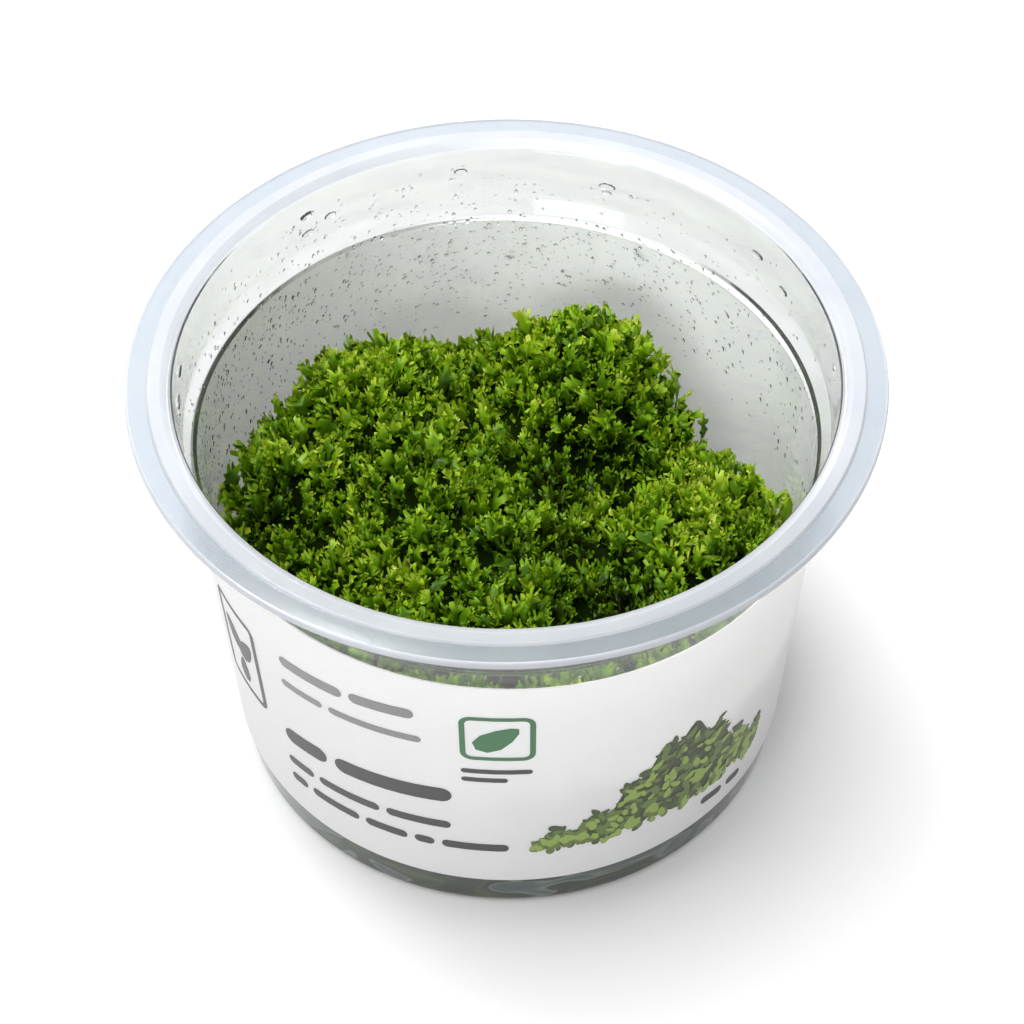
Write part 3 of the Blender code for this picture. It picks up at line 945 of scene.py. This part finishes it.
# Painted shade: the cleft, the deeper layer of fronds and the rims of tufts are made darker, where
# shade falls.
freshness_and_shade -= 0.38 * cleft
freshness_and_shade -= np.where(on_top, 0.0, 0.12) + 0.10 * rim_of_tuft ** 2 - 0.04
brown = 0.45 * cleft + 0.30 * bell(39.0, -6.0, 7.0) + np.maximum(drift - 0.35, 0.0)
brown = np.clip(brown * chance.uniform(0.4, 1.3, frond_count), 0.0, 0.8)


def grow(index):
    """World points of one frond: its flat shape bent, turned and set with its tips at the surface."""
    size = sizes[index]
    x, y, z = (shapes[kinds[index]][0] * size).T
    bend = FROND_LENGTH * size / curls[index]
    angle = z / bend
    back = -bend * (1.0 - np.cos(angle)) + y * np.cos(angle)
    up = bend * np.sin(angle) + y * np.sin(angle)
    local = x[:, None] * across[index] + back[:, None] * face[index] + up[:, None] * axes[index]
    up_through_mat = local @ outward[index]
    head = local[z > HEAD_SHARE * FROND_LENGTH * size].mean(axis=0)
    aside = head - outward[index] * (head @ outward[index])
    points = places[index] + local - aside - outward[index] * (up_through_mat.max() + sink[index])
    reach = np.hypot(points[:, 0], points[:, 1])
    room = wall_radius(points[:, 2]) - WALL - WALL_GAP
    squeeze = np.minimum(room / np.maximum(reach, 1e-6), 1.0)
    points[:, 0] *= squeeze
    points[:, 1] *= squeeze
    return points


# A live liverwort frond, one cell layer thick and wet: fresh green that glows when lit from behind,
# brown where it is old, darker towards its foot and paler to yellow at its tips and toothed edges;
# the darkening and paling are partly the frond's own colour and partly painted shade and painted
# highlight, for the light that falls from above and catches the edges. A thin coat of water gives
# small sharp glints, broken up by cells and puckers that are drawn 0.4 mm wide so that they show.
PUCKER = 0.385 * MM
GREEN_ENDS = ((0.10, "1E2E05"), (1.0, "D6E65A"))
GREENS_BETWEEN = ((0.36, "54800C"), (0.58, "86B416"), (0.80, "AFCF28"))
SHINES_THROUGH = 0.44
green, green_shader = new_material("WetLiverwortFrond")
green_shader.inputs["Roughness"].default_value = 0.36
green_shader.inputs["IOR"].default_value = 1.4
green_shader.inputs["Specular IOR Level"].default_value = 0.3
green_shader.inputs["Coat Weight"].default_value = 0.32
green_shader.inputs["Coat Roughness"].default_value = 0.05
# The point colour attribute carries each frond's tone, with painted light and shade in it, its brown
# and its edges.
tone_and_painted_light = add_node(green, "ShaderNodeAttribute", attribute_name="tone_and_painted_light")
parts = add_node(green, "ShaderNodeSeparateColor", [("Color", tone_and_painted_light.outputs["Color"])])
ramp = add_node(green, "ShaderNodeValToRGB", [("Fac", parts.outputs["Red"])])
for stop, (position, hex_colour) in zip(ramp.color_ramp.elements, GREEN_ENDS):
    stop.position = position
    stop.color = linear(hex_colour)
for position, hex_colour in GREENS_BETWEEN:
    ramp.color_ramp.elements.new(position).color = linear(hex_colour)
old = add_node(green, "ShaderNodeMix", [
    (MIX_SHARE, parts.outputs["Green"]),
    (MIX_FIRST, ramp.outputs["Color"]),
    (MIX_SECOND, linear("4A3C10")),
], [(MIX_RESULT, green_shader.inputs["Base Color"])], data_type="RGBA")
thallus = add_node(green, "ShaderNodeTexCoord")
cells = add_node(green, "ShaderNodeTexNoise", [
    ("Vector", thallus.outputs["Object"]),
    ("Scale", 1.0 / PUCKER),
    ("Detail", 1.0),
])
add_node(green, "ShaderNodeBump", [
    ("Height", cells.outputs["Fac"]),
    ("Strength", 0.55),
    ("Distance", 0.10 * MM),
], [("Normal", green_shader.inputs["Normal"]), ("Normal", green_shader.inputs["Coat Normal"])])
shine_through = add_node(green, "ShaderNodeBsdfTranslucent", [("Color", old.outputs[MIX_RESULT])])
add_node(green, "ShaderNodeMixShader", [
    (0, SHINES_THROUGH),
    (1, green_shader.outputs[0]),
    (2, shine_through.outputs[0]),
], [(0, surface_of(green))])

order = np.argsort(np.arctan2(places[:, 1], places[:, 0]))
for piece_index, group in enumerate(np.array_split(order, FROND_PIECES)):
    all_points, all_triangles, colours, start = [], [], [], 0
    for index in group:
        points, triangles, tip, edge = shapes[kinds[index]]
        all_points.append(grow(index))
        all_triangles.append(triangles + start)
        # Darker at the foot, paler at the tips and more so at toothed edges: partly own colour, partly
        # painted shade and painted highlight.
        tone = 0.20 + 0.40 * tip + 0.22 * edge * tip + (freshness_and_shade[index] - 0.5) * 0.9
        browned = np.full(len(tip), brown[index]) * (1.1 - tip)
        colours.append(np.stack([np.clip(tone, 0.0, 1.0), browned, edge, np.ones(len(tip))], axis=1))
        start += len(points)
    points = np.concatenate(all_points)
    triangles = np.concatenate(all_triangles)
    mesh = bpy.data.meshes.new(f"Fronds{piece_index + 1}")
    mesh.vertices.add(len(points))
    mesh.vertices.foreach_set("co", points.ravel())
    mesh.loops.add(triangles.size)
    mesh.loops.foreach_set("vertex_index", triangles.ravel())
    mesh.polygons.add(len(triangles))
    mesh.polygons.foreach_set("loop_start", np.arange(0, triangles.size, 3))
    mesh.update(calc_edges=True)
    mesh.validate()
    layer = mesh.color_attributes.new("tone_and_painted_light", "FLOAT_COLOR", "POINT")
    layer.data.foreach_set("color", np.concatenate(colours).ravel())
    mesh.shade_smooth()
    mesh.materials.append(green)
    piece = bpy.data.objects.new(mesh.name, mesh)
    bpy.context.scene.collection.objects.link(piece)
    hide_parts("liverwort")
    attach(piece, "root")

# Condensation. Clear water beads on the inside of the wall above the plant, most of them too
# small to run, and a few wide flat drops under the rim. Each bead is a flattened copy of a sphere.
DROP_COUNT = 1900
WIDE_DROPS = 16
DROP_SEED = 8
DROP_BEARING = 120.0
DROP_SCATTER = 65.0
NECK_FLARE = 0.09
WETTED_SHARE = 0.35
drops = random.Random(DROP_SEED)
bpy.ops.object.select_all(action="DESELECT")
bpy.ops.mesh.primitive_uv_sphere_add(segments=8, ring_count=5, radius=1.0)
bead = bpy.context.active_object
bead_points = np.array([vertex.co[:] for vertex in bead.data.vertices])
bead_faces = [tuple(polygon.vertices) for polygon in bead.data.polygons]
bpy.data.objects.remove(bead)


def inner_radius(height):
    """Inner radius of the cup at a height, along its wall, ledge and neck."""
    if height < LEDGE_BOTTOM:
        return wall_radius(height) - WALL
    share = min((height - LEDGE_BOTTOM) / (LEDGE_TOP - LEDGE_BOTTOM), 1.0)
    waist = wall_radius(LEDGE_BOTTOM) - WALL
    shoulder = SHOULDER_RADIUS - WALL
    return waist + (shoulder - waist) * share + max(height - LEDGE_TOP, 0.0) * NECK_FLARE


water_points, water_faces = [], []
for index in range(DROP_COUNT + WIDE_DROPS):
    bearing = math.radians(drops.gauss(DROP_BEARING, DROP_SCATTER))
    if index < DROP_COUNT:
        height = drops.triangular(34.0, 64.5, 50.0) * MM
        size = drops.uniform(0.07, 0.20) * drops.choice((1.0, 1.0, 1.5)) * MM
        depth = size * 0.5
        stretch = drops.uniform(0.9, 1.8)
    else:
        height = drops.uniform(58.5, 64.0) * MM
        size = drops.uniform(0.7, 1.3) * MM
        depth = size * 0.22
        stretch = drops.uniform(0.35, 0.6)
    radius = inner_radius(height) - depth * WETTED_SHARE
    ahead = np.array([math.cos(bearing), math.sin(bearing), 0.0])
    aside = np.array([-math.sin(bearing), math.cos(bearing), 0.0])
    upward = np.array([0.0, 0.0, size * stretch])
    points = ahead * radius + np.array([0.0, 0.0, height])
    points = points + bead_points[:, :1] * ahead * depth
    points = points + bead_points[:, 1:2] * aside * size + bead_points[:, 2:] * upward
    water_faces += [tuple(corner + len(water_points) for corner in face) for face in bead_faces]
    water_points += [tuple(point) for point in points]
water_mesh = bpy.data.meshes.new("Condensation")
water_mesh.from_pydata(water_points, [], water_faces)
water_mesh.shade_smooth()
condensation = bpy.data.objects.new("Condensation", water_mesh)
bpy.context.scene.collection.objects.link(condensation)
# Condensed water: colourless and mirror smooth, so each bead is seen only by the bright rim and the
# dark edge that it bends out of what lies behind it.
water, water_shader = new_material("Water")
water_shader.inputs["Base Color"].default_value = linear("FFFFFF")
water_shader.inputs["Transmission Weight"].default_value = 1.0
water_shader.inputs["IOR"].default_value = 1.33
water_shader.inputs["Roughness"].default_value = 0.0
water_mesh.materials.append(water)
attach(condensation, "root")
